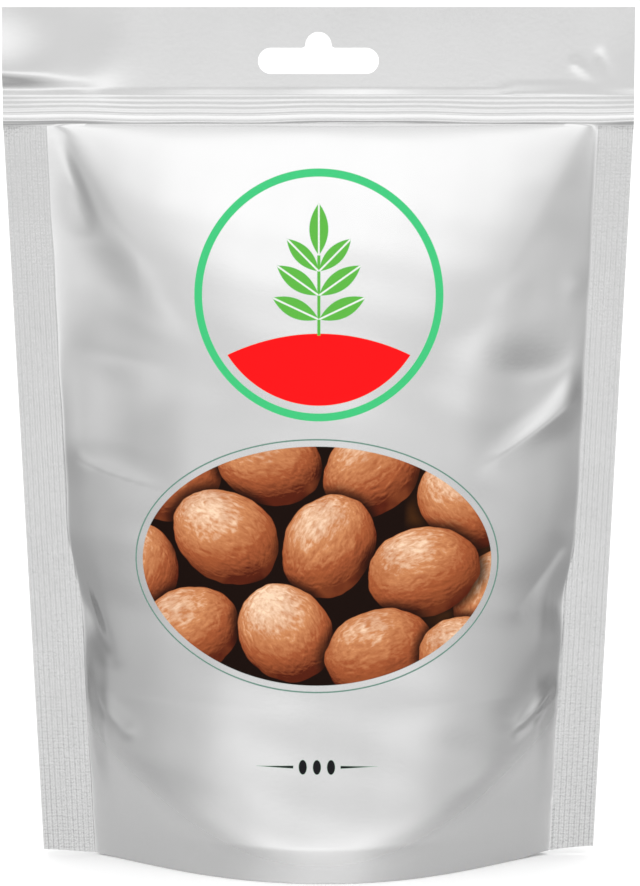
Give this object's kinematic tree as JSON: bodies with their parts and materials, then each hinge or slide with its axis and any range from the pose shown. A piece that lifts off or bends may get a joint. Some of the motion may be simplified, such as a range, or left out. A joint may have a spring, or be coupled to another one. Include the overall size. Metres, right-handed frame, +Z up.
{
  "type": "stand-up pouch",
  "caption": "Shut, filled stand-up pouch of silver film with welded side seals, a zip band across the top, a hang slot in the header and an oval picture on the front.",
  "frame": {"origin": "middle of the pouch's box, on the surface that it stands on", "axes": "+Z up from the base to the header, -Y out of the printed front, +X along the zip to the right as seen from the front"},
  "size_m": [0.16, 0.0554, 0.2212],
  "materials": {
    "film": "satin metallised plastic film with a printed front"
  },
  "bodies": {
    "root": {"pouch": "film"}
  },
  "joints": []
}
